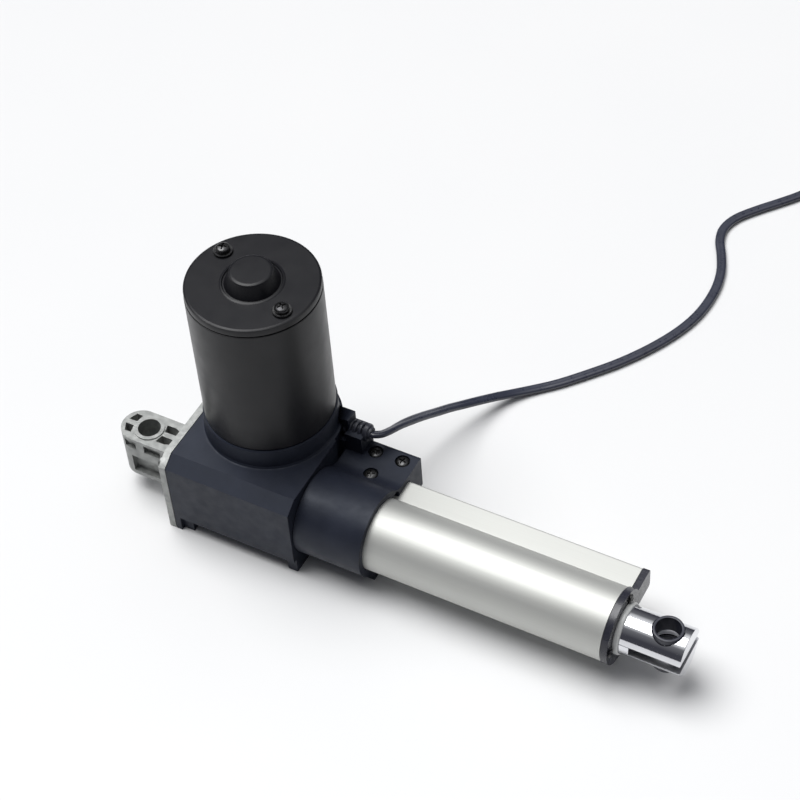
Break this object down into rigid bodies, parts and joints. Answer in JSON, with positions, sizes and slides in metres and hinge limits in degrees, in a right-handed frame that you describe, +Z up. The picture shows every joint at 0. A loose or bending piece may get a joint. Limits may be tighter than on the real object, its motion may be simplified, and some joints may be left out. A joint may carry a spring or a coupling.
{
  "type": "linear actuator",
  "caption": "Electric linear actuator with an upright motor over a worm gearbox, a silver guide tube with a side channel, a chrome push rod with a forked end, a rear eye and a flat lead.",
  "frame": {"origin": "bottom centre of the actuator without its lead, on the surface it stands on", "axes": "+X along the push rod towards its forked end, +Y from the rod towards the motor and the side where the lead leaves, +Z up along the motor"},
  "size_m": [0.2953, 0.3417, 0.1258],
  "materials": {
    "housing_finish": "black powder coat over die-cast alloy, with a faint blue tint and a fine texture",
    "cast_alloy": "bare grey die-cast alloy, sand textured",
    "motor_paint": "charcoal black satin enamel on a steel can",
    "anodised_tube": "clear satin anodised extrusion with fine lengthwise drawing lines",
    "chrome": "polished hard chrome",
    "cap_plastic": "black moulded nylon",
    "plug_plastic": "black moulded nylon",
    "steel": "bright zinc or ground steel",
    "dark_screw": "black oxide steel with worn bright edges",
    "rubber": "black rubber",
    "cord_jacket": "black flat PVC jacket with a slight blue tint",
    "nylon": "natural white nylon",
    "copper": "copper",
    "bronze": "sintered bronze",
    "carbon": "grey carbon",
    "ferrite": "dark sintered ferrite",
    "circuit_board": "green glass-fibre board"
  },
  "bodies": {
    "housing": {"gearbox_housing": "housing_finish", "rear_cover": "cast_alloy", "rear_bearing": "steel", "front_bearing": "steel", "outer_tube": "anodised_tube", "front_cap": "cap_plastic", "wiper_seal": "nylon", "rod_guide_bush": "nylon", "limit_switch_board": "circuit_board", "limit_switch_rear": "cap_plastic", "limit_switch_front": "cap_plastic", "collar": "housing_finish", "motor_front_plate": "cast_alloy", "motor_front_bearing": "steel", "motor_can": "motor_paint", "motor_magnet_left": "ferrite", "motor_magnet_right": "ferrite", "worm_tail_bush": "bronze", "motor_rear_bush": "bronze", "brush_card": "circuit_board", "brush_left": "carbon", "brush_right": "carbon", "motor_end_cap": "motor_paint", "strain_relief": "rubber", "cord_lead": "cord_jacket", "cord_coil": "cord_jacket", "cord_coil_tie": "rubber", "cord_tail": "cord_jacket", "cord_plug": "plug_plastic", "rear_cover_screw_1": "steel", "rear_cover_screw_2": "steel", "rear_cover_screw_3": "steel", "rear_cover_screw_4": "steel", "front_cap_screw_1": "dark_screw", "front_cap_screw_2": "dark_screw", "front_cap_screw_3": "dark_screw", "collar_screw_1": "dark_screw", "collar_screw_2": "dark_screw", "collar_screw_3": "dark_screw", "motor_cap_screw_1": "dark_screw", "motor_cap_screw_2": "dark_screw", "motor_cap_washer_1": "steel", "motor_cap_washer_2": "steel"},
    "rod": {"drive_nut": "nylon", "rod_tube": "chrome", "rod_end_fork": "chrome", "pin_bush_upper": "cap_plastic", "pin_bush_lower": "cap_plastic"},
    "screw": {"worm_wheel": "nylon", "lead_screw": "steel", "screw_retaining_ring": "steel"},
    "armature": {"armature_core": "steel", "armature_winding_1": "copper", "armature_winding_2": "copper", "commutator": "copper", "worm_shaft": "steel"}
  },
  "joints": [
    {"name": "armature_spin", "type": "hinge", "parent": "housing", "child": "armature", "pos_m": [-0.0664, 0.00625, 0.06], "axis": [0, 0, 1], "range_deg": [0, 187199]},
    {"name": "rod_slide", "type": "slide", "parent": "housing", "child": "rod", "axis": [1, 0, 0], "range_m": [0, 0.1]},
    {"name": "screw_spin", "type": "hinge", "parent": "housing", "child": "screw", "pos_m": [-0.0664, -0.01465, 0.021], "axis": [1, 0, 0], "range_deg": [-7200, 0]}
  ],
  "couplings": [
    {"joint": "rod_slide", "follows": "armature_spin", "m_per_rad": 0.000030607},
    {"joint": "screw_spin", "follows": "armature_spin", "ratio": -0.038462}
  ]
}
